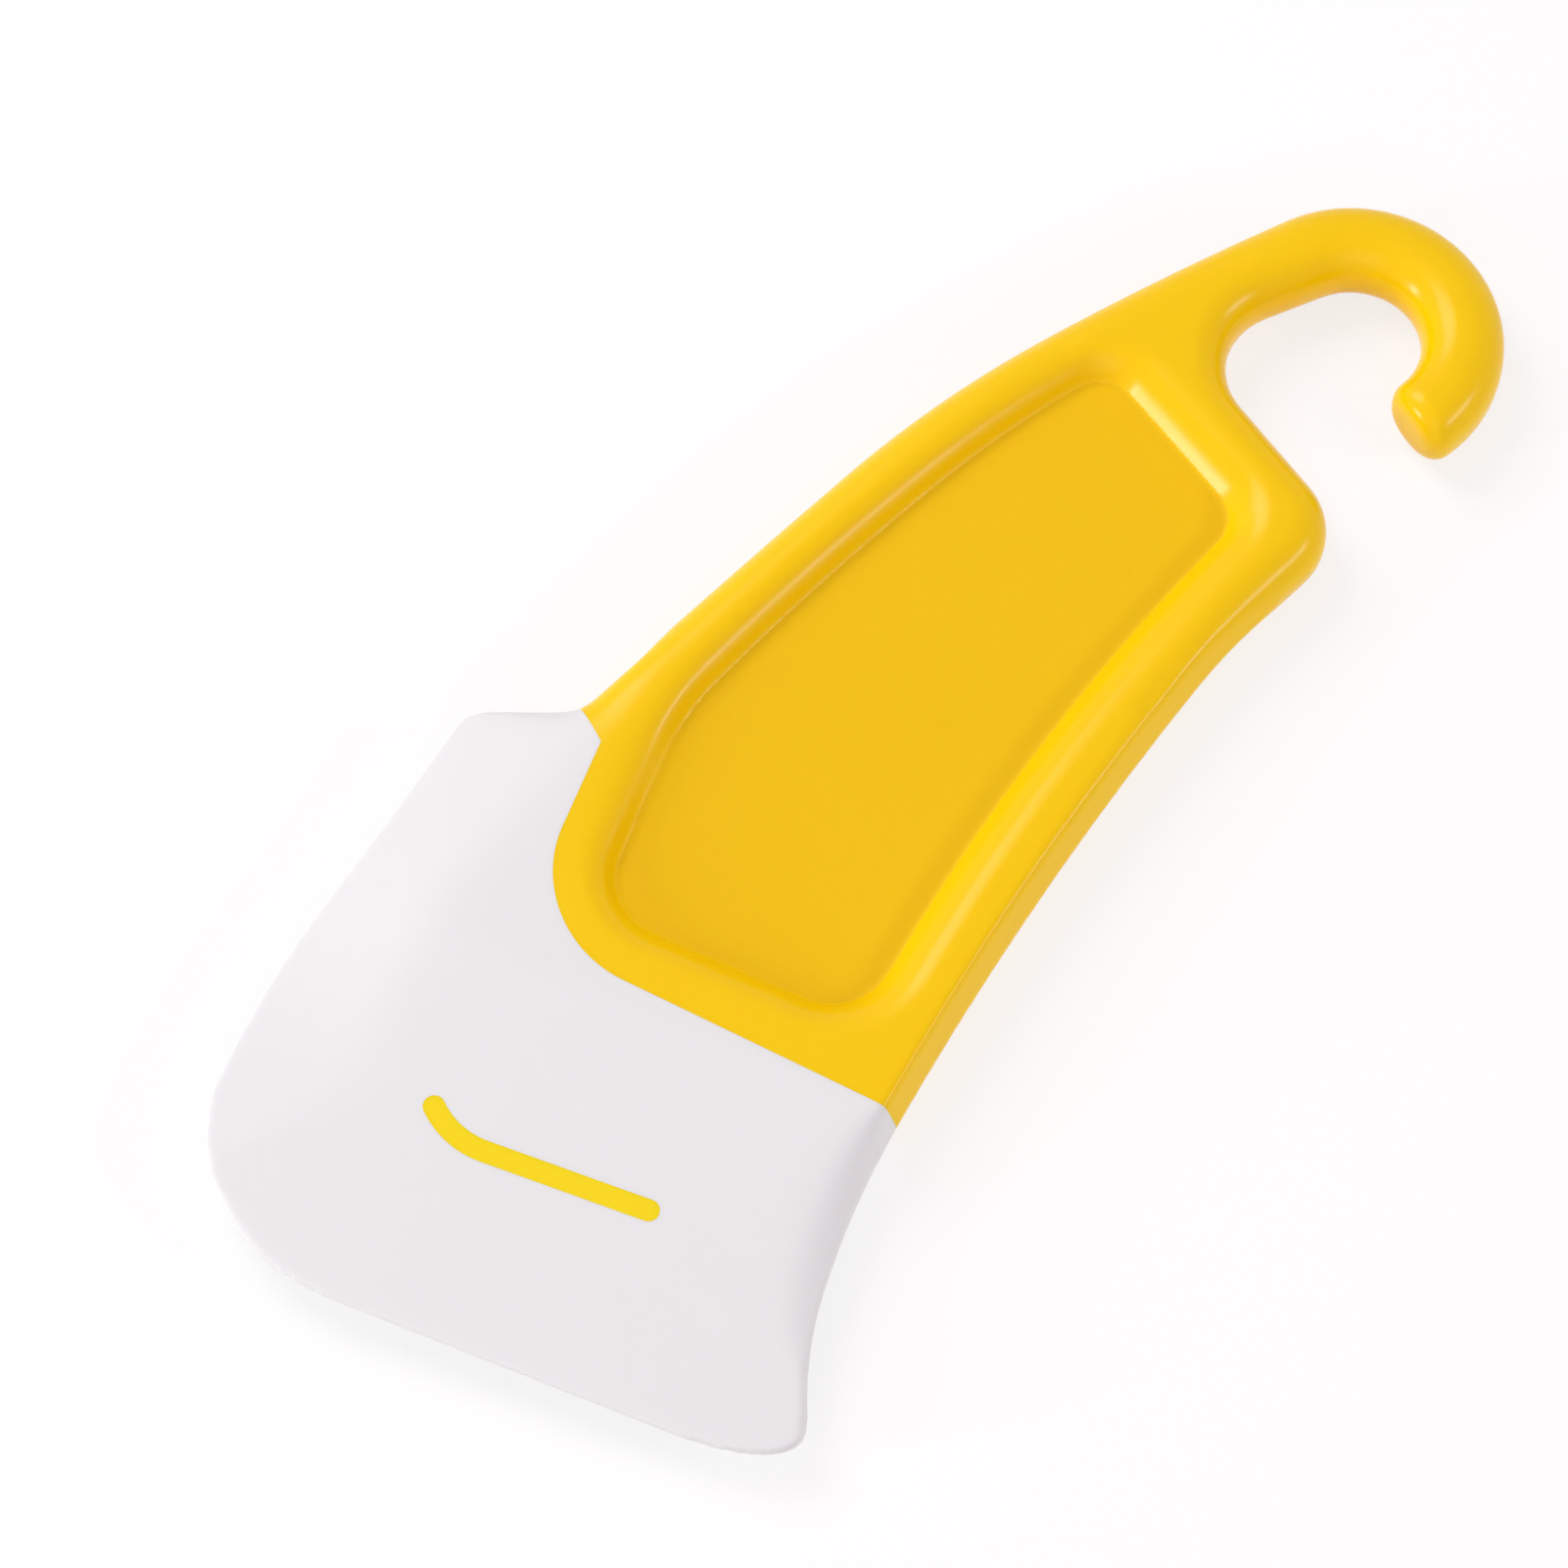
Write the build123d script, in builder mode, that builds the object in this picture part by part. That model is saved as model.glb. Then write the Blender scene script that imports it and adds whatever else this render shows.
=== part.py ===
"""Bowl scraper: a rigid moulded grip with a hanging hook, and a soft blade moulded over the grip's tongue.

The part is drawn about its mid-plane, with the lip along y = 0 and the hook towards +Y.
At the end it is laid on z = 0 with its box centred on the origin.
"""

from build123d import *
import os
from math import cos, radians, sin

os.makedirs("parts", exist_ok=True)

# Overall sizes
LENGTH = 184.6  # from the lip to the top of the hook
BLADE_LENGTH = 45.4  # from the lip to the joint line at the flank
GRIP_WIDTH = 57.5  # across the middle of the grip
WING_REACH = 20.7  # how far the blade's wing stands out past the grip's long edge
THICKNESS = 10.4  # of the grip, and of the blade along the joint line

# Hook
HOOK_RADIUS = 13.65  # to the middle of the bar
HOOK_BAR = 10.4
HOOK_END_ANGLE = -38.0  # where the outside of the bar ends
HOOK_ROOT_SWELL = 2.5  # degrees that the long edge swells out by where it leaves the bar
HOOK_END_SKEW = 6.0  # degrees more that the inside of the bar runs on
HOOK_END_ROUND = 2.4

# Edges of the grip
HEEL_RADIUS = 9.0
THROAT_RADIUS = 9.7
SHOULDER_RADIUS = 1.0  # inner corner between the long edge and the wing
FLANK_LEAN = 18.0  # degrees that the flank wall leans in from the parting plane

# Recess for the thumb, one on each face
RECESS_DEPTH = 3.4
RECESS_SLOPE = 30.0  # degrees that its wall leans out
RECESS_CREST = 3.8  # round of its rim
RECESS_FOOT = 0.4
RECESS_CORNER = 5.0
RECESS_LARGE_CORNER = 8.0  # at the blade's end

# Blade
LIP_THICKNESS = 1.3
WING_CORNER = 5.2
WING_EDGE = 1.5  # thickness along the wing's outer edge
JOINT_CORNER = 16.0  # corner of the grip's seat in the blade

# Tongue inside the blade, with the rib that shows on both faces of the blade
TONGUE_THICKNESS = 2.4
TONGUE_CORNER = 6.0
RIB_WIDTH = 2.7
RIB_BEND = 11.0
RIB_BEND_ANGLE = 44.0
ANCHOR_HOLE = 5.0

# How the pieces are cut
OVERRUN = 12.0  # how far a cutting shape reaches past what it cuts
FAR_SHARE = 4  # how far a cutting line runs on past its corner, in its own lengths
EDGE_SHARE = 0.91  # of half the thickness, that the round of the edges takes up
TAPER_SHARE = 0.55  # of the blade's growth in thickness that is straight, the rest being hollow

half = THICKNESS / 2
lip_half = LIP_THICKNESS / 2
wing_half = WING_EDGE / 2
edge_round = EDGE_SHARE * min(half, HOOK_BAR / 2, WING_CORNER)
hook_outside = HOOK_RADIUS + HOOK_BAR / 2
hook_inside = HOOK_RADIUS - HOOK_BAR / 2
grip_length = LENGTH - BLADE_LENGTH - hook_outside


def on_grip(across_share, along_share):
    """A point of the grip, in shares of its width and of the way from the joint line to the hook's centre."""
    return Vector(across_share * GRIP_WIDTH, BLADE_LENGTH + along_share * grip_length)


# Corners of the grip's outline, and of the line where the two pieces meet
hook_centre = on_grip(0.861, 1.0)
heel = on_grip(1.025, 0.782)
throat = on_grip(0.515, 0.930)
shoulder = on_grip(-0.350, 0.295)
joint_end = on_grip(0.631, 0)
joint_corner = on_grip(-0.257, 0.037)
joint_top = on_grip(-0.264, 0.259)

# Lip, from below the wing to below the flank
lip_left = shoulder.X - WING_REACH
lip_right = on_grip(0.710, 0).X
lip_middle = (lip_left + lip_right) / 2
lip_half_width = (lip_right - lip_left) / 2


def on_blade(across_share, along_share):
    """A point of the blade, in shares of half the lip's width and of the blade's length."""
    return Vector(lip_middle + across_share * lip_half_width, along_share * BLADE_LENGTH)


wing_tip = shoulder - Vector(0.628, 0.266) * WING_REACH
wing_foot = on_blade(-1.0, 0.48)

# Directions in which long curves start, from points of the grip
heel_slope = on_grip(0, 0) - on_grip(1, 0.879)
wall_slope = on_grip(0, 0) - on_grip(1, 0.749)
recess_left_slope = on_grip(0, 0) - on_grip(1, 0.650)
recess_right_slope = on_grip(0, 0) - on_grip(1, 1.263)

# Blank that both pieces are cut from: the whole outline, with well rounded edges
with BuildPart() as blank:
    with BuildSketch() as outline:
        with BuildLine():
            root = on_grip(0.235, 0.876)
            outer_ring = CenterArc(hook_centre, hook_outside, 0, 360, mode=Mode.PRIVATE)
            root_line = PointArcTangentLine(root, outer_ring, mode=Mode.PRIVATE)
            touch_angle = Vector(1, 0).get_signed_angle(root_line @ 1 - hook_centre, Vector(0, 0, 1))
            outer_turn = touch_angle - HOOK_ROOT_SWELL - HOOK_END_ANGLE
            outer_arc = CenterArc(hook_centre, hook_outside, HOOK_END_ANGLE, outer_turn)
            long_high = TangentArc(outer_arc @ 1, root, tangent=outer_arc % 1)
            long_middle = TangentArc(long_high @ 1, on_grip(-0.040, 0.647), tangent=long_high % 1)
            TangentArc(long_middle @ 1, shoulder, tangent=long_middle % 1)
            Line(shoulder, wing_tip)
            wing_low = TangentArc(wing_foot, on_blade(-0.944, 1.0), tangent=(0, 1))
            TangentArc(wing_low @ 1, wing_tip, tangent=wing_low % 1)
            flank_high = TangentArc(heel, on_grip(0.854, 0.561), tangent=heel_slope)
            flank_middle = TangentArc(flank_high @ 1, on_grip(0.669, -0.103), tangent=flank_high % 1)
            flank_low = TangentArc(flank_middle @ 1, on_blade(1.06, 0), tangent=flank_middle % 1)
            Polyline(
                wing_foot,
                (wing_foot.X, -OVERRUN),
                flank_low @ 1 + (flank_low % 1) * OVERRUN,
                flank_low @ 1,
            )
            Line(heel, throat)
            inner_ring = CenterArc(hook_centre, hook_inside, 0, 360, mode=Mode.PRIVATE)
            neck = PointArcTangentLine(throat, inner_ring)
            neck_angle = Vector(1, 0).get_signed_angle(neck @ 1 - hook_centre, Vector(0, 0, 1))
            inner_end = HOOK_END_ANGLE - HOOK_END_SKEW
            inner_arc = CenterArc(hook_centre, hook_inside, inner_end, neck_angle - inner_end)
            Line(inner_arc @ 0, outer_arc @ 0)
        make_face()
        fillet(outline.vertices().sort_by_distance(shoulder)[0], SHOULDER_RADIUS)
        fillet(outline.vertices().sort_by_distance(wing_tip)[0], WING_CORNER)
        fillet(outline.vertices().sort_by_distance(heel)[0], HEEL_RADIUS)
        fillet(outline.vertices().sort_by_distance(throat)[0], THROAT_RADIUS)
    extrude(amount=half, both=True)
    fillet(blank.edges().filter_by(GeomType.CIRCLE), radius=edge_round)

# Ground on the grip's side of the joint line
with BuildPart() as grip_side:
    with BuildSketch() as grip_ground:
        beyond_flank = joint_corner + (joint_end - joint_corner) * FAR_SHARE
        beyond_wing = joint_top + (shoulder - joint_top) * FAR_SHARE
        with BuildLine():
            Polyline(
                beyond_flank,
                joint_corner,
                joint_top,
                beyond_wing,
                (beyond_wing.X, LENGTH + OVERRUN),
                (beyond_flank.X, LENGTH + OVERRUN),
                close=True,
            )
        make_face()
        fillet(grip_ground.vertices().sort_by_distance(joint_corner)[0], JOINT_CORNER)
    extrude(amount=THICKNESS, both=True)

# Ground inside the flank wall, which leans in from the parting plane
with BuildPart() as inside_flank:
    with BuildSketch():
        with BuildLine():
            wall_high = TangentArc(on_grip(1.014, 0.752), on_grip(0.846, 0.568), tangent=wall_slope)
            wall_middle = TangentArc(wall_high @ 1, joint_end, tangent=wall_high % 1)
            wall_low = TangentArc(wall_middle @ 1, on_blade(0.888, 0.50), tangent=wall_middle % 1)
            wall_foot = TangentArc(wall_low @ 1, on_blade(1.105, 0), tangent=wall_low % 1)
            Polyline(
                wall_high @ 0,
                (2 * GRIP_WIDTH, LENGTH),
                (2 * GRIP_WIDTH, LENGTH + OVERRUN),
                (-GRIP_WIDTH, LENGTH + OVERRUN),
                (-GRIP_WIDTH, -OVERRUN),
                (wall_foot @ 1 + (wall_foot % 1) * OVERRUN),
                wall_foot @ 1,
            )
        make_face()
    lean = radians(FLANK_LEAN)
    extrude(amount=THICKNESS / cos(lean), dir=(-sin(lean), 0, cos(lean)))

# Upper half of the grip with its recess, mirrored to the lower half
with BuildPart() as grip:
    add(blank.part)
    add(grip_side.part, mode=Mode.INTERSECT)
    add(inside_flank.part, mode=Mode.INTERSECT)
    with BuildSketch(Plane.XY.offset(half - RECESS_DEPTH)) as recess_floor:
        hook_end_left = on_grip(0.393, 0.865)
        hook_end_right = on_grip(0.790, 0.754)
        blade_end_left = on_grip(-0.130, 0.097)
        blade_end_right = on_grip(0.477, 0.084)
        with BuildLine():
            Line(hook_end_left, hook_end_right)
            right_high = TangentArc(hook_end_right, on_grip(0.615, 0.485), tangent=recess_right_slope)
            TangentArc(right_high @ 1, blade_end_right, tangent=right_high % 1)
            Line(blade_end_right, blade_end_left)
            left_high = TangentArc(hook_end_left, on_grip(0.155, 0.675), tangent=recess_left_slope)
            left_middle = TangentArc(left_high @ 1, on_grip(-0.103, 0.378), tangent=left_high % 1)
            left_bend = TangentArc(left_middle @ 1, on_grip(-0.138, 0.275), tangent=left_middle % 1)
            Line(left_bend @ 1, blade_end_left)
        make_face()
        fillet(recess_floor.vertices().sort_by_distance(hook_end_left)[0], RECESS_CORNER)
        fillet(recess_floor.vertices().sort_by_distance(hook_end_right)[0], RECESS_CORNER)
        fillet(recess_floor.vertices().sort_by_distance(blade_end_left)[0], RECESS_LARGE_CORNER)
        fillet(recess_floor.vertices().sort_by_distance(blade_end_right)[0], RECESS_LARGE_CORNER)
    extrude(amount=RECESS_DEPTH, taper=-RECESS_SLOPE, mode=Mode.SUBTRACT)
    floor = grip.faces().filter_by(Plane.XY).sort_by(Axis.Z)[1]
    fillet(floor.edges(), RECESS_FOOT)
    top_face = grip.faces().filter_by(Plane.XY).sort_by(Axis.Z)[-1]
    fillet(top_face.inner_wires()[0].edges(), RECESS_CREST)
    mirror(about=Plane.XY)
    hook_end = hook_centre + Vector(HOOK_RADIUS, 0).rotate(Axis.Z, HOOK_END_ANGLE)
    cut_end = grip.faces().filter_by(GeomType.PLANE).sort_by_distance(hook_end)[0]
    fillet(cut_end.edges(), HOOK_END_ROUND)


def blade_half(along_share):
    """Half of the blade's thickness, a share of the blade's length away from the lip."""
    growth = TAPER_SHARE * along_share + (1 - TAPER_SHARE) * along_share**2
    return lip_half + (half - lip_half) * growth


def bevel_section(along_share, ridge_share, edge_share, edge_height_share):
    """Ground under the bevel, whose line runs on past the top face and the outer edge."""
    edge_across = on_blade(edge_share, 0).X
    edge_height = edge_height_share * wing_half
    ridge_across = on_blade(ridge_share, 0).X
    steepness = (half - edge_height) / (ridge_across - edge_across)
    with BuildSketch(Plane.XZ.offset(-along_share * shoulder.Y)) as section:
        with BuildLine():
            Polyline(
                (2 * lip_right, 0),
                (2 * lip_right, THICKNESS),
                (edge_across + (THICKNESS - edge_height) / steepness, THICKNESS),
                (edge_across, edge_height),
                (edge_across, 0),
                close=True,
            )
        make_face()
    return section.sketch


def flank_section(along_share, flank_share, out_share, round_share, rise_share):
    """Ground outside the blade's rounded flank, across the blade."""
    top = rise_share * blade_half(along_share)
    flank = on_blade(flank_share, 0).X
    outer = flank + out_share * THICKNESS
    inner = flank - round_share * THICKNESS
    with BuildSketch(Plane.XZ.offset(-along_share * BLADE_LENGTH)) as section:
        with BuildLine():
            Bezier((outer, 0), (flank - (flank - inner) / 10, top), (inner, top))
            Polyline(
                (inner, top),
                (inner, THICKNESS),
                (2 * lip_right, THICKNESS),
                (2 * lip_right, 0),
                (outer, 0),
            )
        make_face()
    return section.sketch


bevel_sections = (
    bevel_section(-0.05, 0.03, -1.05, 1.07),
    bevel_section(0.101, 0.03, -1.05, 1.07),
    bevel_section(0.247, 0.03, -1.05, 0.85),
    bevel_section(0.393, -0.377, -1.045, 0.53),
    bevel_section(0.561, -0.613, -0.995, 0.14),
    bevel_section(0.769, -0.532, -0.924, 0.14),
    bevel_section(1.038, -0.350, -0.809, 0.28),
)
flank_sections = (
    flank_section(-0.09, 1.045, 0.01, 0.05, 1.04),
    flank_section(0.18, 0.983, 0.015, 0.12, 1.04),
    flank_section(0.44, 0.900, 0.03, 0.27, 1.04),
    flank_section(0.70, 0.871, 0.05, 0.46, 1.04),
    flank_section(0.90, 0.885, 0.08, 0.36, 1.06),
    flank_section(1.10, 0.900, 0.15, 0.10, 1.25),
)

# Upper half of the blade's form: a concave taper to the lip, the bevel and the rounded flank
with BuildPart() as blade_form:
    with BuildSketch(Plane.YZ):
        low_share = -0.2
        high_share = (shoulder.Y + OVERRUN) / BLADE_LENGTH
        middle_share = (low_share + high_share) / 2
        low_top = blade_half(low_share)
        climb = (half - lip_half) * (TAPER_SHARE + 2 * (1 - TAPER_SHARE) * low_share)
        with BuildLine():
            Bezier(
                (low_share * BLADE_LENGTH, low_top),
                (middle_share * BLADE_LENGTH, low_top + climb * (middle_share - low_share)),
                (high_share * BLADE_LENGTH, blade_half(high_share)),
            )
            Polyline(
                (high_share * BLADE_LENGTH, blade_half(high_share)),
                (high_share * BLADE_LENGTH, 0),
                (low_share * BLADE_LENGTH, 0),
                (low_share * BLADE_LENGTH, low_top),
            )
        make_face()
    extrude(amount=2 * lip_right, both=True)
    add(blank.part, mode=Mode.INTERSECT)
    add(inside_flank.part, mode=Mode.INTERSECT)
    loft(sections=bevel_sections, mode=Mode.INTERSECT)
    loft(sections=flank_sections, mode=Mode.SUBTRACT)
    with BuildSketch():
        with BuildLine():
            left_round = on_blade(-0.42, 0.48)
            right_round = on_blade(0.66, 0.12)
            left_side = on_blade(-1.01, 0.48)
            right_side = on_blade(1.0, 0.12)
            left_width = left_round.X - left_side.X
            right_width = right_side.X - right_round.X
            EllipticalCenterArc(left_round, left_width, left_round.Y, start_angle=180, arc_size=90)
            Line((left_round.X, 0), (right_round.X, 0))
            EllipticalCenterArc(right_round, right_width, right_round.Y, start_angle=270, arc_size=90)
            Polyline(
                right_side,
                (right_side.X, 2 * BLADE_LENGTH),
                (left_side.X, 2 * BLADE_LENGTH),
                left_side,
            )
        make_face()
    extrude(amount=THICKNESS, both=True, mode=Mode.INTERSECT)
    add(grip_side.part, mode=Mode.SUBTRACT)
    mirror(about=Plane.XY)

# Rib that the soft material stops against, flush with both faces of the blade
with BuildPart() as rib:
    with BuildSketch():
        straight_start = on_blade(0.331, 0.521)
        straight_end = on_blade(-0.181, 0.509)
        straight = straight_end - straight_start
        with BuildLine(mode=Mode.PRIVATE):
            bend = JernArc(straight_end, straight, RIB_BEND, -RIB_BEND_ANGLE)
        SlotArc(bend, RIB_WIDTH)
        turn = Vector(-1, 0).get_signed_angle(straight, Vector(0, 0, 1))
        with Locations(straight_start + straight / 2):
            SlotCenterToCenter(straight.length, RIB_WIDTH, rotation=turn)
    extrude(amount=half, both=True)
    add(blade_form.part, mode=Mode.INTERSECT)

# Handle: the grip, with the holed tongue and the rib that the blade is moulded around
with BuildPart() as handle:
    add(grip.part)
    add(rib.part)
    with BuildSketch() as tongue:
        tongue_low_right = on_blade(0.69, 0.41)
        tongue_low_left = on_blade(-0.66, 0.41)
        tongue_high_left = on_blade(-0.66, 1.45)
        with BuildLine():
            Polyline(
                tongue_low_right,
                tongue_low_left,
                tongue_high_left,
                on_blade(-0.24, 1.45),
                on_blade(-0.24, 1.14),
                on_blade(0.69, 1.14),
                close=True,
            )
        make_face()
        fillet(tongue.vertices().sort_by_distance(tongue_low_right)[0], TONGUE_CORNER)
        fillet(tongue.vertices().sort_by_distance(tongue_low_left)[0], TONGUE_CORNER)
        fillet(tongue.vertices().sort_by_distance(tongue_high_left)[0], TONGUE_CORNER)
        anchor_places = (
            on_blade(0.48, 0.80),
            on_blade(0.01, 0.81),
            on_blade(-0.47, 0.79),
            on_blade(-0.505, 1.24),
        )
        with Locations(*anchor_places):
            Circle(ANCHOR_HOLE / 2, mode=Mode.SUBTRACT)
    extrude(amount=TONGUE_THICKNESS / 2, both=True)

# Blade: the soft material around the tongue
with BuildPart() as blade:
    add(blade_form.part)
    add(handle.part, mode=Mode.SUBTRACT)

# Laid on z = 0, with the box centred on the origin
whole = handle.part.bounding_box().add(blade.part.bounding_box())
to_ground = Location((-whole.center().X, -whole.center().Y, -whole.min.Z))
handle.part.label = "handle"
blade.part.label = "blade"
handle.part.locate(to_ground)
blade.part.locate(to_ground)
export_step(handle.part, "parts/handle.step")
export_step(blade.part, "parts/blade.step")
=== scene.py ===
"""Looks of a bowl scraper: the yellow grip, the soft white blade, and the studio that they are shown in."""

import math

import bmesh
import bpy
from mathutils import Matrix, Vector
from mathutils.bvhtree import BVHTree


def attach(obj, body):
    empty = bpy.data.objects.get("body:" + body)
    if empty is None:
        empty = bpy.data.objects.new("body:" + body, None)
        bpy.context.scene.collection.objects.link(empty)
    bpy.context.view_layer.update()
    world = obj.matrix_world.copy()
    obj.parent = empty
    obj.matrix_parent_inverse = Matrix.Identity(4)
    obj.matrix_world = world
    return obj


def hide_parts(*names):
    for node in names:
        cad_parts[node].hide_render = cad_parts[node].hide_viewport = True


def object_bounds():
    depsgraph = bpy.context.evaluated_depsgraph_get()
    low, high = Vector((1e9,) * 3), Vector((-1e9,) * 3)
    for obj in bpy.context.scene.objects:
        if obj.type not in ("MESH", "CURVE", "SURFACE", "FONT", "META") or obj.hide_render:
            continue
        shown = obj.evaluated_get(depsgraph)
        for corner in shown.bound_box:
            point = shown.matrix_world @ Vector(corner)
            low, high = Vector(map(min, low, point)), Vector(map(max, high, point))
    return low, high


bl_info = {
    "name": "Bowl scraper",
    "version": (1, 0, 0),
    "blender": (4, 5, 0),
    "location": "View3D > Sidebar > Scraper",
    "description": "Builds the bowl scraper's grip and blade and the studio around them",
    "category": "Object",
}

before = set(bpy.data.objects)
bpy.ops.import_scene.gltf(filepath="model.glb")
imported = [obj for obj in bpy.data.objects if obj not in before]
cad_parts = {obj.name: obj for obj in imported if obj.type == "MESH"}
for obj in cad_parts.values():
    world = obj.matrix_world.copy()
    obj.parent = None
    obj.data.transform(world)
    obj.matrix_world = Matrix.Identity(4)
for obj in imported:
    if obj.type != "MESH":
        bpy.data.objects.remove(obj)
CAD_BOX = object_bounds()
MM = 0.001
MIDDLE = (CAD_BOX[0].z + CAD_BOX[1].z) / 2

# Places in plan, in millimetres: corners of the joint line and the tongue, ends of the rib's straight part, middles of
# the tongue's holes, and points along the folds that the mould leaves soft. The hook's end is a spot, so its line is
# very short.
JOINT_LINE = ((175.7, -60.26), (-28.54, -42.45), (-28.95, -15.73), (-48.73, 1.6), (-48.73, 110), (175.7, 110))
RIB_LINE = ((-0.25, -68.65), (-21.16, -69.19))
TONGUE = ((14.4, -73.7), (-40.7, -73.7), (-40.7, -26.5), (-23.6, -26.5), (-23.6, -40.5), (14.4, -40.5))
ANCHOR_HOLES = ((5.83, -55.98), (-13.36, -55.53), (-32.95, -56.43), (-34.38, -36.0))
BEVEL_RIDGE = ((-30.8, -16.3), (-37.5, -36.3), (-38.8, -50.8), (-39.5, -63.4))
FLANK_CREASE = ((21.5, -54.0), (19.5, -62.0), (20.5, -72.0))
BELLY_CREASE = ((20.9, -48.0), (24.0, -22.0), (28.6, 0.0), (33.8, 20.0), (40.4, 41.0))
HOOK_END = ((46.3, 64.8), (46.4, 64.7))

# Limits in y: the hook starts above the first, the panel ends at the second, and the rib lies below the third.
HOOK_START = 50 * MM
PANEL_END = -48 * MM
RIB_TOP = -60 * MM

# Heights of the plates that cut the skin into grip and blade, clear of it below and above.
CUT_LOW = -5 * MM
CUT_HIGH = 15 * MM

# Shares of the full softening that the hook's end and the belly's crease get.
HOOK_END_SHARE = 0.08
BELLY_SHARE = 0.06

# Nothing nearer than this to the middle of the thickness is a fold, so the blade's thin edges keep their shape.
FOLD_HEIGHT = 1.2 * MM

# How near points are that count as one, and heights that count as one level of the solid.
SAME_POINT = 0.001 * MM
SAME_LEVEL = 0.01 * MM

# The panel's finish is for skin this near to the panel's level that faces this much up or down.
PANEL_SLACK = 0.4 * MM
PANEL_FACING = 0.8

# The rib's colour begins this far from the tongue's faces.
RIB_CLEARANCE = 0.2 * MM

# Creases sharper than this stay sharp in the shading, such as the edge that the cut along the joint leaves.
SHARP_ANGLE = math.radians(50)

# Half the floor's width in metres, the share of its own white in it, and the camera's sensor in millimetres.
FLOOR_REACH = 3.0
FLOOR_OWN_WHITE = 0.75
SENSOR_WIDTH = 36.0


class ScraperShape(bpy.types.PropertyGroup):
    """Sizes of the scraper's skin, and of the places where its two materials meet."""

    grain: bpy.props.FloatProperty(
        name="Detail", description="Spacing of the skin's mesh", default=0.45 * MM, subtype="DISTANCE"
    )
    edge_softening: bpy.props.IntProperty(
        name="Edge softening", description="Passes that round off the moulding's creases", default=3, min=0
    )
    fold_softening: bpy.props.IntProperty(
        name="Fold softening", description="Passes that round off the bevel, flank and hook's end", default=300, min=0
    )
    bevel_width: bpy.props.FloatProperty(
        name="Bevel fold", description="Reach of the softening of the bevel", default=13 * MM, subtype="DISTANCE"
    )
    flank_width: bpy.props.FloatProperty(
        name="Flank fold", description="Reach of the softening of the blade's flank", default=9 * MM, subtype="DISTANCE"
    )
    belly_width: bpy.props.FloatProperty(
        name="Belly crease", description="Reach of the softening of the grip's side", default=4 * MM, subtype="DISTANCE"
    )
    hook_end_width: bpy.props.FloatProperty(
        name="Hook's end", description="Reach of the softening of the hook's end", default=6.5 * MM, subtype="DISTANCE"
    )
    panel_depth: bpy.props.FloatProperty(
        name="Panel depth", description="Depth of the thumb panel below the rim", default=3.4 * MM, subtype="DISTANCE"
    )
    wall_width: bpy.props.FloatProperty(
        name="Wall width", description="Roll from the rim down to the panel", default=4.9 * MM, subtype="DISTANCE"
    )
    wall_lean: bpy.props.FloatProperty(
        name="Wall lean", description="Extra width on the belly's side", default=0.9 * MM, subtype="DISTANCE"
    )
    joint_corner: bpy.props.FloatProperty(
        name="Joint corner", description="Round of the joint line's corner", default=16 * MM, subtype="DISTANCE"
    )
    rib_width: bpy.props.FloatProperty(
        name="Rib width", description="Width of the rib in the blade", default=2.7 * MM, subtype="DISTANCE"
    )
    rib_bend: bpy.props.FloatProperty(
        name="Rib bend", description="Radius of the rib's bend", default=11 * MM, subtype="DISTANCE"
    )
    rib_turn: bpy.props.FloatProperty(
        name="Rib turn", description="How far the rib turns in its bend", default=math.radians(44), subtype="ANGLE"
    )
    tongue_thickness: bpy.props.FloatProperty(
        name="Tongue thickness", description="Thickness of the blade's tongue", default=2.4 * MM, subtype="DISTANCE"
    )
    tongue_corner: bpy.props.FloatProperty(
        name="Tongue corner", description="Round of the tongue's corners", default=6 * MM, subtype="DISTANCE"
    )
    anchor_hole: bpy.props.FloatProperty(
        name="Anchor hole", description="Width of the tongue's holes", default=5 * MM, subtype="DISTANCE"
    )


class ScraperFinish(bpy.types.PropertyGroup):
    """Colours of the scraper's materials, as sRGB hex values."""

    rim_colour: bpy.props.StringProperty(name="Rim", description="Polished part of the grip", default="F9CE00")
    panel_colour: bpy.props.StringProperty(name="Panel", description="Matte floor of the recess", default="EFC400")
    # The rib's colour is the grip's yellow drawn paler: painted light for the light that reaches the thin rib through
    # the blade.
    rib_lit_colour: bpy.props.StringProperty(name="Rib", description="Rib, thin and lit by the blade", default="F8DC18")
    blade_colour: bpy.props.StringProperty(name="Blade", description="Silicone of the blade", default="E7EBEB")
    floor_colour: bpy.props.StringProperty(name="Floor", description="Studio floor", default="FFFFFF")


class ScraperStudio(bpy.types.PropertyGroup):
    """Camera of the studio."""

    turn: bpy.props.FloatProperty(
        name="Turn", description="Camera's turn round the part", default=math.radians(22.5), subtype="ANGLE"
    )
    rise: bpy.props.FloatProperty(
        name="Rise", description="Camera's angle above the floor", default=math.radians(65.0), subtype="ANGLE"
    )
    distance: bpy.props.FloatProperty(
        name="Distance", description="Camera to the part", default=775.2 * MM, subtype="DISTANCE"
    )
    lens: bpy.props.FloatProperty(name="Lens", description="Focal length in millimetres", default=146.16)
    aim: bpy.props.FloatVectorProperty(
        name="Aim",
        description="Point that the camera looks at",
        default=(-7.17 * MM, -10.33 * MM, 5.2 * MM),
        subtype="TRANSLATION",
    )


def linear(hex_colour):
    """Linear colour of an sRGB hex value."""
    parts = [int(hex_colour[i : i + 2], 16) / 255 for i in (0, 2, 4)]
    return (*[p / 12.92 if p <= 0.04045 else ((p + 0.055) / 1.055) ** 2.4 for p in parts], 1)


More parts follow.
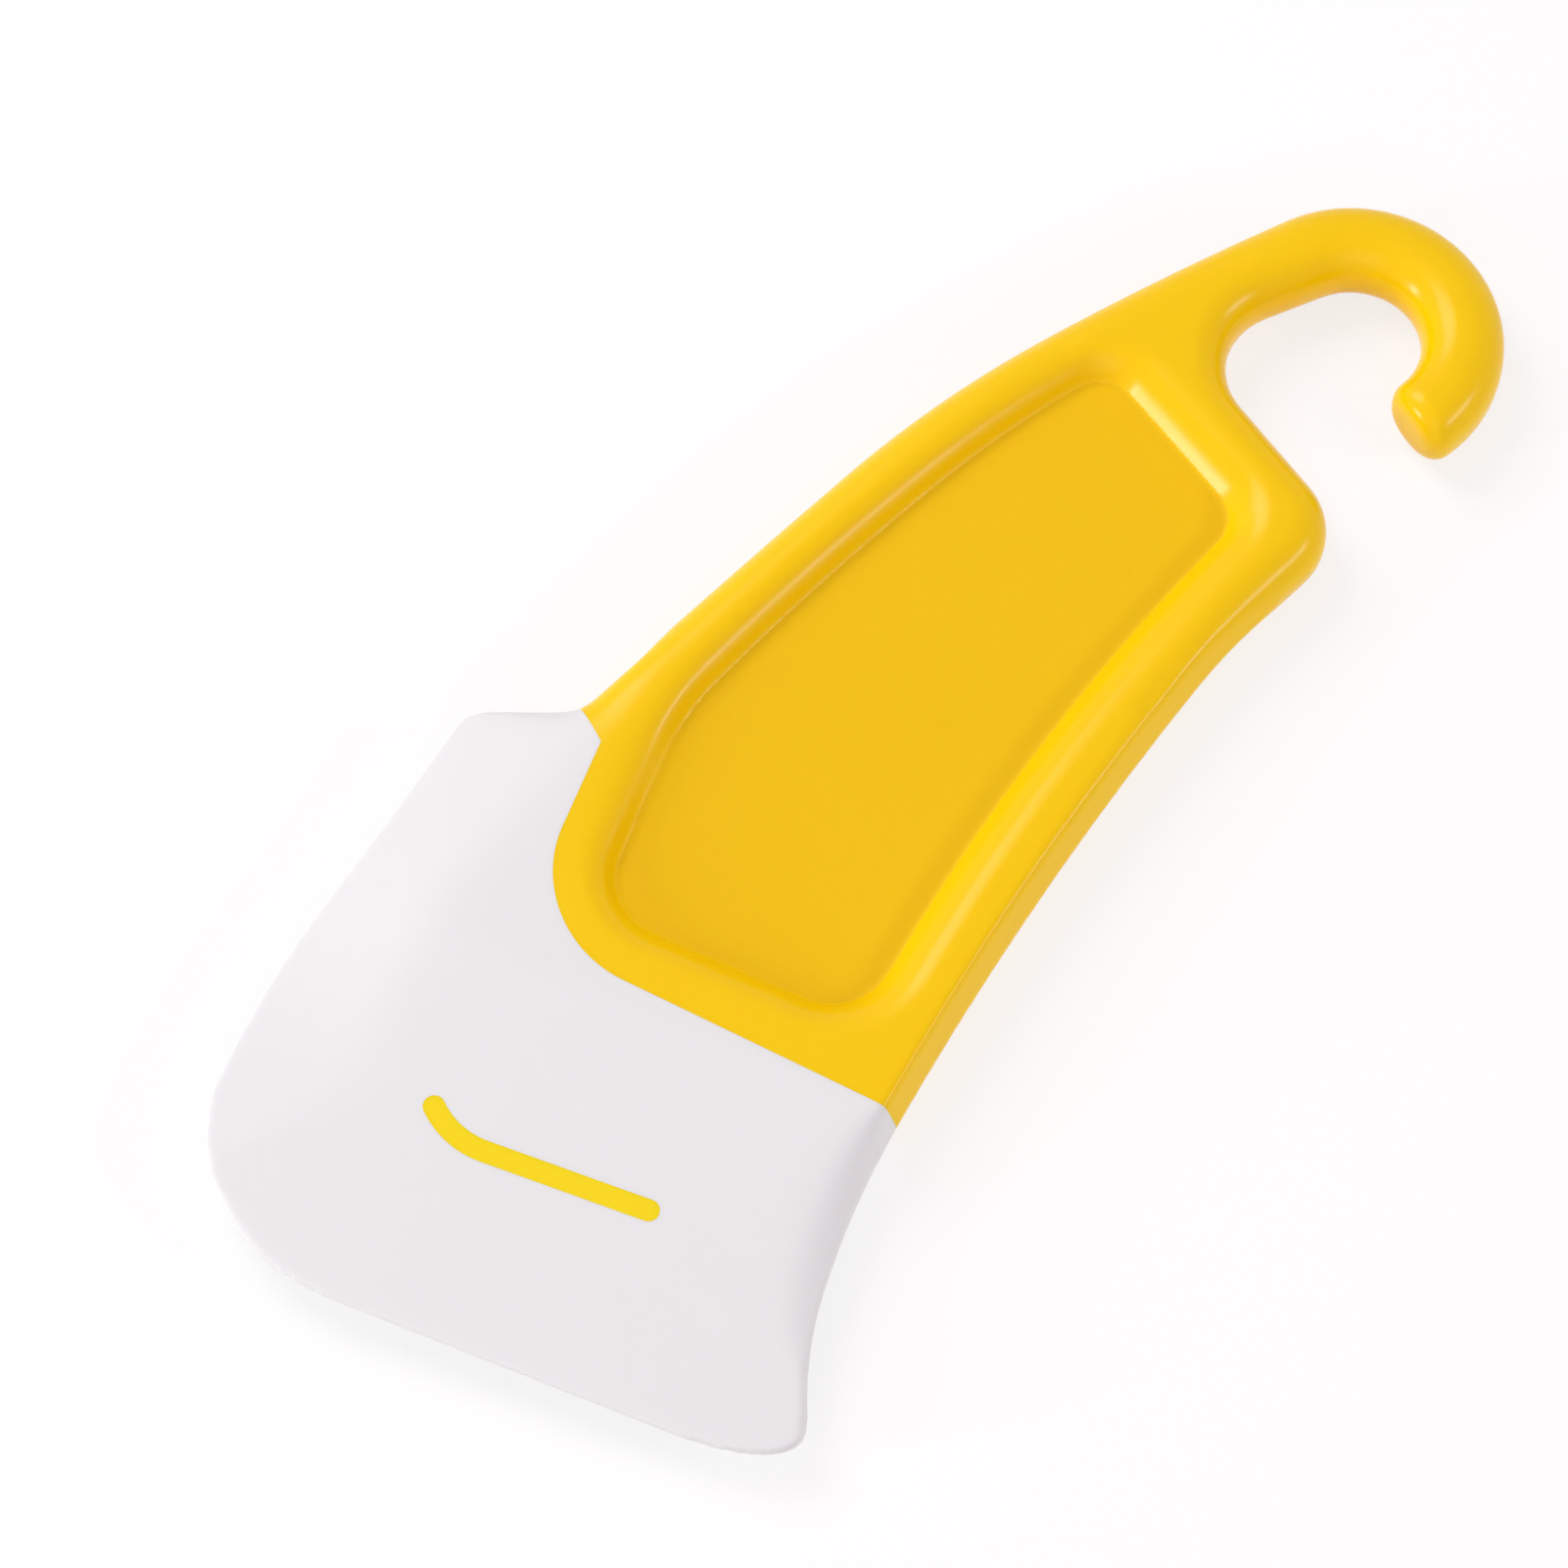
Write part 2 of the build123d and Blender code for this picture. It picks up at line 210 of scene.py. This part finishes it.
def node(tree, kind, settings=None, **inputs):
    """Adds a node, sets its properties, and sets or links its inputs by name (with _ for a space)."""
    made = tree.nodes.new(kind)
    for key, value in (settings or {}).items():
        setattr(made, key, value)
    for key, value in inputs.items():
        socket = made.inputs[int(key[1:])] if key[1:].isdigit() else made.inputs[key.replace("_", " ")]
        if isinstance(value, bpy.types.NodeSocket):
            tree.links.new(value, socket)
        else:
            socket.default_value = value
    return made


def sees_white(tree):
    """Share of the rays that are to meet the white surroundings: the camera's, reflected and refracted ones."""
    rays = node(tree, "ShaderNodeLightPath").outputs
    share = rays["Is Camera Ray"]
    for other in ("Is Glossy Ray", "Is Transmission Ray"):
        share = node(tree, "ShaderNodeMath", {"operation": "MAXIMUM"}, _0=share, _1=rays[other]).outputs[0]
    return share


def blend(tree, share, first, second):
    """A colour between two others."""
    return node(tree, "ShaderNodeMix", {"data_type": "RGBA"}, _0=share, _6=first, _7=second).outputs[2]


def new_material(name):
    """An empty material with its output and principled shader."""
    made = bpy.data.materials.new(name)
    made.use_nodes = True
    tree = made.node_tree
    tree.nodes.clear()
    shader = node(tree, "ShaderNodeBsdfPrincipled")
    output = node(tree, "ShaderNodeOutputMaterial", Surface=shader.outputs[0])
    return made, tree, shader, output


def polypropylene(name, finish):
    """Moulded polypropylene: an even waxy yellow, satin on the polished rim and matte on the eroded panel."""
    made, tree, shader, _ = new_material(name)
    place = node(tree, "ShaderNodeTexCoord").outputs["Object"]
    panel = node(tree, "ShaderNodeAttribute", {"attribute_name": "panel"}).outputs["Fac"]
    tone = blend(tree, panel, linear(finish.rim_colour), linear(finish.panel_colour))
    # The rib is thin, so light reaches it through the white silicone on both sides, and it looks paler; its paler
    # colour is painted light on the grip's own yellow plastic.
    rib = node(tree, "ShaderNodeAttribute", {"attribute_name": "rib"}).outputs["Fac"]
    tone = blend(tree, rib, tone, linear(finish.rib_lit_colour))
    # Slow cloudiness of the pigment, about 25 mm across, hardly seen.
    cloud = node(tree, "ShaderNodeTexNoise", Vector=place, Scale=40.0, Detail=2.0, Roughness=0.5)
    shade = node(tree, "ShaderNodeMapRange", Value=cloud.outputs[0], To_Min=0.985, To_Max=1.015)
    pigment = node(tree, "ShaderNodeHueSaturation", Value=shade.outputs[0], Color=tone)
    tree.links.new(pigment.outputs[0], shader.inputs["Base Color"])
    # Texture of the mould's steel, really about 0.1 mm across and drawn at 0.5 mm so that it shows.
    grain = node(tree, "ShaderNodeTexNoise", Vector=place, Scale=2000.0, Detail=3.0, Roughness=0.6)
    gloss = node(tree, "ShaderNodeMapRange", Value=panel, To_Min=0.24, To_Max=0.65)
    uneven = node(tree, "ShaderNodeMapRange", Value=grain.outputs[0], To_Min=-0.04, To_Max=0.04)
    rough = node(tree, "ShaderNodeMath", {"operation": "ADD"}, _0=gloss.outputs[0], _1=uneven.outputs[0])
    tree.links.new(rough.outputs[0], shader.inputs["Roughness"])
    # Slight sinks and waves where thick plastic has shrunk, about 12 mm across.
    sink = node(tree, "ShaderNodeTexNoise", Vector=place, Scale=80.0, Detail=1.0, Roughness=0.4)
    wave = node(tree, "ShaderNodeBump", Height=sink.outputs[0], Strength=0.5, Distance=0.04 * MM)
    depth = node(tree, "ShaderNodeMapRange", Value=panel, To_Min=0.3, To_Max=0.9)
    skin = node(
        tree,
        "ShaderNodeBump",
        Height=grain.outputs[0],
        Strength=depth.outputs[0],
        Distance=0.01 * MM,
        Normal=wave.outputs[0],
    )
    tree.links.new(skin.outputs[0], shader.inputs["Normal"])
    shader.inputs["IOR"].default_value = 1.49
    shader.inputs["Specular IOR Level"].default_value = 0.2
    shader.inputs["Subsurface Weight"].default_value = 0.25
    shader.inputs["Subsurface Radius"].default_value = (1.0, 0.5, 0.2)
    shader.inputs["Subsurface Scale"].default_value = 1.2 * MM
    return made


def silicone(name, finish):
    """Moulded silicone rubber: milky, slightly see-through at its thin edges, with a dry soft gloss."""
    made, tree, shader, _ = new_material(name)
    place = node(tree, "ShaderNodeTexCoord").outputs["Object"]
    # Cloudiness of the filler, about 30 mm across, hardly seen.
    cloud = node(tree, "ShaderNodeTexNoise", Vector=place, Scale=35.0, Detail=2.0, Roughness=0.5)
    shade = node(tree, "ShaderNodeMapRange", Value=cloud.outputs[0], To_Min=0.99, To_Max=1.01)
    filler = node(tree, "ShaderNodeHueSaturation", Value=shade.outputs[0], Color=linear(finish.blade_colour))
    tree.links.new(filler.outputs[0], shader.inputs["Base Color"])
    # Blasted mould's texture, really under 0.1 mm and drawn at 0.6 mm so that it shows.
    grain = node(tree, "ShaderNodeTexNoise", Vector=place, Scale=1700.0, Detail=3.0, Roughness=0.6)
    gloss = node(tree, "ShaderNodeMapRange", Value=grain.outputs[0], To_Min=0.5, To_Max=0.6)
    tree.links.new(gloss.outputs[0], shader.inputs["Roughness"])
    skin = node(tree, "ShaderNodeBump", Height=grain.outputs[0], Strength=0.4, Distance=0.01 * MM)
    tree.links.new(skin.outputs[0], shader.inputs["Normal"])
    shader.inputs["IOR"].default_value = 1.41
    shader.inputs["Specular IOR Level"].default_value = 0.12
    shader.inputs["Subsurface Weight"].default_value = 0.2
    shader.inputs["Subsurface Radius"].default_value = (1.0, 0.85, 0.9)
    shader.inputs["Subsurface Scale"].default_value = 1.0 * MM
    return made


def to_object(name, shape):
    """An object with a bmesh's shape, with its faces turned outwards."""
    bmesh.ops.recalc_face_normals(shape, faces=shape.faces)
    mesh = bpy.data.meshes.new(name)
    shape.to_mesh(mesh)
    shape.free()
    made = bpy.data.objects.new(name, mesh)
    bpy.context.scene.collection.objects.link(made)
    return made


def apply_modifiers(piece):
    """Puts the result of a piece's modifiers in its mesh."""
    shown = piece.evaluated_get(bpy.context.evaluated_depsgraph_get())
    made = bpy.data.meshes.new_from_object(shown)
    piece.modifiers.clear()
    old, piece.data = piece.data, made
    bpy.data.meshes.remove(old)


def combine(piece, other, how):
    """Joins a piece with another, cuts it, or keeps what both have, and removes the other."""
    step = piece.modifiers.new(how, "BOOLEAN")
    step.operation, step.solver, step.object = how, "MANIFOLD", other
    apply_modifiers(piece)
    if not piece.data.polygons:
        raise RuntimeError(f"{how} with {other.name} left nothing of {piece.name}")
    bpy.data.meshes.remove(other.data)


def pull_up(shape, low, high):
    """Makes a flat outline's face a solid from one height to another."""
    made = bmesh.ops.extrude_face_region(shape, geom=shape.faces[:], use_keep_orig=True)["geom"]
    bmesh.ops.translate(shape, verts=shape.verts, vec=(0, 0, low))
    bmesh.ops.translate(shape, verts=[v for v in made if isinstance(v, bmesh.types.BMVert)], vec=(0, 0, high - low))


def plate(name, corners, rounded, radius, low, high):
    """A flat plate from its corners in millimetres, with the numbered ones rounded."""
    shape = bmesh.new()
    verts = [shape.verts.new((x * MM, y * MM, 0)) for x, y in corners]
    shape.faces.new(verts)
    for corner in [verts[i] for i in rounded]:
        ways = [edge.other_vert(corner).co - corner.co for edge in corner.link_edges]
        reach = radius / math.tan(ways[0].angle(ways[1]) / 2)
        bmesh.ops.bevel(
            shape, geom=[corner], offset=reach, affect="VERTICES", segments=32, profile=0.5, material=-1
        )
    pull_up(shape, low, high)
    return to_object(name, shape)


def rib_ground(sizes):
    """The rib's outline, swung around its ends and its bend, as a plate that stands through the blade."""
    start, bend_start = (Vector((x, y, 0)) * MM for x, y in RIB_LINE)
    up = Vector((0, 0, 1))
    side = (bend_start - start).normalized().cross(up)
    pivot = bend_start + side * sizes.rib_bend
    bend_end = pivot + Matrix.Rotation(-sizes.rib_turn, 3, "Z") @ (bend_start - pivot)
    shape = bmesh.new()

    def swing(tip, centre, angle):
        return bmesh.ops.spin(shape, geom=[tip], cent=centre, axis=up, angle=angle, steps=16)["geom_last"][0]

    first = shape.verts.new(start + side * sizes.rib_width / 2)
    tip = swing(first, start, -math.pi)
    far = shape.verts.new(bend_start - side * sizes.rib_width / 2)
    shape.edges.new((tip, far))
    tip = swing(far, pivot, -sizes.rib_turn)
    tip = swing(tip, bend_end, -math.pi)
    tip = swing(tip, pivot, sizes.rib_turn)
    shape.edges.new((tip, first))
    bmesh.ops.contextual_create(shape, geom=shape.edges[:])
    pull_up(shape, CUT_LOW, CUT_HIGH)
    return to_object("rib_ground", shape)


def hard_ground(sizes):
    """The plan of the yellow plastic: the grip's side of the joint line, and the rib."""
    ground = plate("grip_ground", JOINT_LINE, (1,), sizes.joint_corner, CUT_LOW, CUT_HIGH)
    combine(ground, rib_ground(sizes), "UNION")
    return ground


def tongue(sizes):
    """The tongue that the blade is moulded around, with its anchor holes."""
    half = sizes.tongue_thickness / 2
    made = plate("tongue", TONGUE, (0, 1, 2), sizes.tongue_corner, MIDDLE - half, MIDDLE + half)
    for x, y in ANCHOR_HOLES:
        pin = bmesh.new()
        place = Matrix.Translation((x * MM, y * MM, MIDDLE))
        radius = sizes.anchor_hole / 2
        bmesh.ops.create_cone(
            pin, cap_ends=True, segments=40, radius1=radius, radius2=radius, depth=4 * half, matrix=place
        )
        combine(made, to_object("pin", pin), "DIFFERENCE")
    return made


def nearness(place, line, width):
    """How near a point is to a line in plan, from 0 at the width to 1 on the line."""
    gap = width
    for start, end in zip(line, line[1:]):
        a, b = Vector(start) * MM, Vector(end) * MM
        share = max(0.0, min(1.0, (place.xy - a).dot(b - a) / (b - a).length_squared))
        gap = min(gap, (place.xy - a.lerp(b, share)).length)
    share = 1 - gap / width
    return share * share * (3 - 2 * share)


def panel_height(sizes):
    """Height of the panel's floor above the middle of the thickness."""
    return CAD_BOX[1].z - MIDDLE - sizes.panel_depth


def roll_walls(skin, sizes):
    """Carves the recess's walls as one broad roll that falls from the rim to a crisp foot at the panel's edge."""
    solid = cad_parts["handle"].data
    level = panel_height(sizes)
    floors = []
    for face in solid.polygons:
        heights = [abs(solid.vertices[number].co.z - MIDDLE) for number in face.vertices]
        if max(abs(height - level) for height in heights) < SAME_LEVEL:
            floors.append(tuple(face.vertices))
    panels = BVHTree.FromPolygons([vertex.co for vertex in solid.vertices], floors)
    for vertex in skin.data.vertices:
        side = math.copysign(1, vertex.co.z - MIDDLE)
        height = abs(vertex.co.z - MIDDLE)
        if height < level:
            continue
        below = Vector((vertex.co.x, vertex.co.y, MIDDLE + side * level))
        foot, _, _, reach = panels.find_nearest(below, sizes.wall_width + sizes.wall_lean)
        if foot is not None:
            width = sizes.wall_width - sizes.wall_lean * (foot - below).normalized().x
            rise = 1 - max(0.0, 1 - reach / width) ** 2
            vertex.co.z = MIDDLE + side * min(height, level + sizes.panel_depth * rise)


def soften(skin, name, passes, group=""):
    """Adds passes of smoothing to a skin, all over or as strongly as a vertex group says."""
    step = skin.modifiers.new(name, "SMOOTH")
    step.factor, step.iterations, step.vertex_group = 0.5, passes, group


def whole_skin(name, sizes):
    """Grip and blade as one even skin over the CAD nodes, with creases rounded as moulding leaves them."""
    kept = bpy.data.meshes.get("whole skin")
    if kept is None:
        raw = bmesh.new()
        for part_name in ("handle", "blade"):
            raw.from_mesh(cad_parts[part_name].data)
        bmesh.ops.remove_doubles(raw, verts=raw.verts, dist=SAME_POINT)
        skin = to_object("whole skin maker", raw)
        even = skin.modifiers.new("Even mesh", "REMESH")
        even.mode, even.voxel_size = "VOXEL", sizes.grain
        apply_modifiers(skin)
        roll_walls(skin, sizes)
        folds = skin.vertex_groups.new(name="folds")
        for vertex in skin.data.vertices:
            if vertex.co.y > HOOK_START:
                share = nearness(vertex.co, HOOK_END, sizes.hook_end_width) * HOOK_END_SHARE
            elif abs(vertex.co.z - MIDDLE) > FOLD_HEIGHT:
                ridge = nearness(vertex.co, BEVEL_RIDGE, sizes.bevel_width)
                flank = nearness(vertex.co, FLANK_CREASE, sizes.flank_width)
                belly = nearness(vertex.co, BELLY_CREASE, sizes.belly_width) * BELLY_SHARE
                share = max(ridge, flank, belly)
            else:
                continue
            if share > 0:
                folds.add([vertex.index], share, "REPLACE")
        soften(skin, "Soft folds", sizes.fold_softening, folds.name)
        soften(skin, "Soft edges", sizes.edge_softening)
        apply_modifiers(skin)
        kept = skin.data
        kept.name = "whole skin"
        bpy.data.objects.remove(skin)
    piece = bpy.data.objects.new(name, kept.copy())
    bpy.context.scene.collection.objects.link(piece)
    return piece


def dress(piece, node_name, material):
    """Gives a finished piece its material and its place in the frame."""
    piece.data.name = piece.name
    piece.data.materials.clear()
    piece.data.materials.append(material)
    piece.data.shade_smooth()
    piece.data.set_sharp_from_angle(angle=SHARP_ANGLE)
    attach(piece, "root")
    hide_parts(node_name)


class SCRAPER_OT_grip(bpy.types.Operator):
    """Makes the grip with its hook, tongue and rib, in polished and matte yellow plastic"""

    bl_idname = "scraper.grip"
    bl_label = "Grip"

    def execute(self, context):
        sizes, finish = context.scene.scraper_shape, context.scene.scraper_finish
        piece = whole_skin("grip_skin", sizes)
        combine(piece, hard_ground(sizes), "INTERSECT")
        combine(piece, tongue(sizes), "UNION")
        panel_level = panel_height(sizes)
        rib_level = sizes.tongue_thickness / 2 + RIB_CLEARANCE
        panel = piece.data.attributes.new("panel", "FLOAT", "POINT")
        rib = piece.data.attributes.new("rib", "FLOAT", "POINT")
        for number, vertex in enumerate(piece.data.vertices):
            level = abs(vertex.co.z - MIDDLE)
            flat = abs(level - panel_level) < PANEL_SLACK and abs(vertex.normal.z) > PANEL_FACING
            panel.data[number].value = float(flat and vertex.co.y > PANEL_END)
            rib.data[number].value = float(vertex.co.y < RIB_TOP and level > rib_level)
        dress(piece, "handle", polypropylene("moulded polypropylene", finish))
        return {"FINISHED"}


class SCRAPER_OT_blade(bpy.types.Operator):
    """Makes the soft blade around the tongue and the rib"""

    bl_idname = "scraper.blade"
    bl_label = "Blade"

    def execute(self, context):
        sizes, finish = context.scene.scraper_shape, context.scene.scraper_finish
        piece = whole_skin("blade_skin", sizes)
        combine(piece, hard_ground(sizes), "DIFFERENCE")
        combine(piece, tongue(sizes), "DIFFERENCE")
        dress(piece, "blade", silicone("moulded silicone rubber", finish))
        return {"FINISHED"}


def lamp(name, place, size, power):
    """A soft rectangular studio lamp that faces the part."""
    data = bpy.data.lights.new(name, "AREA")
    data.shape = "RECTANGLE"
    data.size, data.size_y = size
    data.energy = power
    made = bpy.data.objects.new(name, data)
    bpy.context.scene.collection.objects.link(made)
    made.location = place
    made.rotation_euler = (-Vector(place)).to_track_quat("-Z", "Y").to_euler()


class SCRAPER_OT_studio(bpy.types.Operator):
    """Makes the floor, the lamps, the white surroundings and the camera"""

    bl_idname = "scraper.studio"
    bl_label = "Studio"

    def execute(self, context):
        studio, finish = context.scene.scraper_studio, context.scene.scraper_finish
        scene = context.scene
        flat = bmesh.new()
        bmesh.ops.create_grid(flat, x_segments=1, y_segments=1, size=FLOOR_REACH)
        floor = to_object("floor", flat)
        paper, tree, shader, output = new_material("white background paper")
        shader.inputs["Base Color"].default_value = linear(finish.floor_colour)
        shader.inputs["Roughness"].default_value = 0.9
        shader.inputs["Specular IOR Level"].default_value = 0.0
        # To the camera the paper is partly its own white, so it comes out white and still takes the soft shadow.
        part = node(tree, "ShaderNodeMath", {"operation": "MULTIPLY"}, _0=sees_white(tree), _1=FLOOR_OWN_WHITE)
        glow = node(tree, "ShaderNodeEmission", Color=(1, 1, 1, 1), Strength=1.0)
        both = node(tree, "ShaderNodeMixShader", _0=part.outputs[0], _1=shader.outputs[0], _2=glow.outputs[0])
        tree.links.new(both.outputs[0], output.inputs["Surface"])
        floor.data.materials.append(paper)

        scene.world = bpy.data.worlds.new("studio")
        scene.world.use_nodes = True
        tree = scene.world.node_tree
        tree.nodes.clear()
        room = node(tree, "ShaderNodeBackground", Color=(1.0, 0.82, 0.88, 1), Strength=0.435)
        white = node(tree, "ShaderNodeBackground", Color=(1, 1, 1, 1), Strength=1.0)
        choice = node(tree, "ShaderNodeMixShader", _0=sees_white(tree), _1=room.outputs[0], _2=white.outputs[0])
        node(tree, "ShaderNodeOutputWorld", Surface=choice.outputs[0])

        lamp("key", (-0.70, 0.29, 0.84), (0.6, 0.6), 6.1)
        lamp("low left", (-0.74, -0.62, 0.27), (0.10, 0.30), 3.6)
        lamp("right strip", (0.85, 0.12, 0.38), (0.40, 0.09), 2.0)
        lamp("fill", (0.30, -0.80, 0.85), (0.8, 0.8), 1.8)

        data = bpy.data.cameras.new("camera")
        data.lens, data.sensor_width = studio.lens, SENSOR_WIDTH
        data.clip_start, data.clip_end = 0.01, 20
        camera = bpy.data.objects.new("camera", data)
        scene.collection.objects.link(camera)
        flat_part = math.cos(studio.rise)
        back = Vector((math.sin(studio.turn) * flat_part, -math.cos(studio.turn) * flat_part, math.sin(studio.rise)))
        camera.location = Vector(studio.aim) + back * studio.distance
        camera.rotation_euler = (-back).to_track_quat("-Z", "Y").to_euler()
        scene.camera = camera
        scene.view_settings.view_transform = "Standard"
        return {"FINISHED"}


class SCRAPER_PT_panel(bpy.types.Panel):
    """Lists the pieces of the scraper"""

    bl_label = "Bowl scraper"
    bl_idname = "SCRAPER_PT_panel"
    bl_space_type = "VIEW_3D"
    bl_region_type = "UI"
    bl_category = "Scraper"

    def draw(self, context):
        for group in (context.scene.scraper_shape, context.scene.scraper_finish, context.scene.scraper_studio):
            for name in group.__annotations__:
                self.layout.prop(group, name)
        for operator in OPERATORS:
            self.layout.operator(operator.bl_idname)


GROUPS = {"scraper_shape": ScraperShape, "scraper_finish": ScraperFinish, "scraper_studio": ScraperStudio}
OPERATORS = (SCRAPER_OT_grip, SCRAPER_OT_blade, SCRAPER_OT_studio)


def register():
    for made in (*GROUPS.values(), *OPERATORS, SCRAPER_PT_panel):
        bpy.utils.register_class(made)
    for name, group in GROUPS.items():
        setattr(bpy.types.Scene, name, bpy.props.PointerProperty(type=group))


def unregister():
    for name in GROUPS:
        delattr(bpy.types.Scene, name)
    for made in reversed((*GROUPS.values(), *OPERATORS, SCRAPER_PT_panel)):
        bpy.utils.unregister_class(made)


def main():
    register()
    bpy.ops.scraper.grip()
    bpy.ops.scraper.blade()
    bpy.ops.scraper.studio()


if __name__ == "__main__":
    main()
